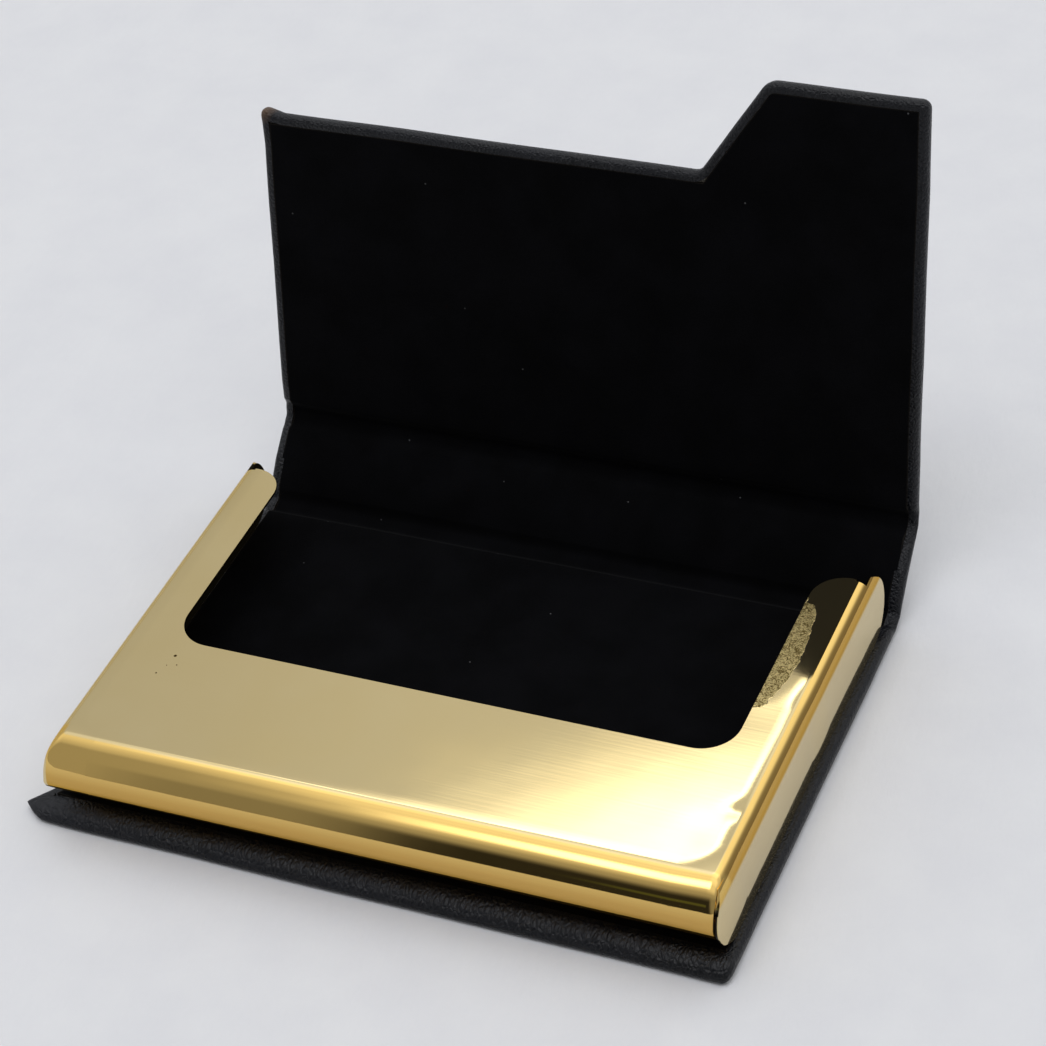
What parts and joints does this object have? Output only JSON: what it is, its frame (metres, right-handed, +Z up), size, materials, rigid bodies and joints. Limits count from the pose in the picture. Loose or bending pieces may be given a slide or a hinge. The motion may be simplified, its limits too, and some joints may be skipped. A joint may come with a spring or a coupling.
{
  "type": "business card case",
  "caption": "Book-bound leather business card case with a folded gold steel card tray and a magnetic tab lid.",
  "frame": {"origin": "centre of the flat underside of the base panel", "axes": "+X along the hinges, to the tab's side; +Y from the tray's front roll to the spine; +Z up, out of the table"},
  "size_m": [0.0946, 0.0881, 0.0686],
  "materials": {
    "gold_steel": "gold-coloured, polished with a fine lengthwise brushing",
    "black_leather": "imitation leather, fine grain, satin",
    "black_velvet": "short flocked pile",
    "grey_board": "pressed grey board",
    "foam_tape": "black acrylic foam",
    "nickel_magnet": "nickel plated"
  },
  "bodies": {
    "base": {"card_tray": "gold_steel", "tray_tape": "foam_tape", "base_skin": "black_leather", "base_board": "grey_board", "base_lining": "black_velvet"},
    "spine": {"spine_skin": "black_leather", "spine_board": "grey_board", "spine_lining": "black_velvet", "lower_hinge_skin": "black_leather", "lower_hinge_lining": "black_velvet"},
    "cover": {"cover_skin": "black_leather", "cover_board": "grey_board", "cover_magnet": "nickel_magnet", "cover_lining": "black_velvet", "upper_hinge_skin": "black_leather", "upper_hinge_lining": "black_velvet"}
  },
  "joints": [
    {"name": "lower_hinge", "type": "hinge", "parent": "base", "child": "spine", "pos_m": [0, 0.03302, 0.0012], "axis": [1, 0, 0], "range_deg": [-44.5, 45.5], "deforming": ["lower_hinge_skin", "lower_hinge_lining"]},
    {"name": "upper_hinge", "type": "hinge", "parent": "spine", "child": "cover", "pos_m": [0, 0.04255, 0.01056], "axis": [1, 0, 0], "range_deg": [-32.5, 57.5], "deforming": ["upper_hinge_skin", "upper_hinge_lining"]}
  ]
}
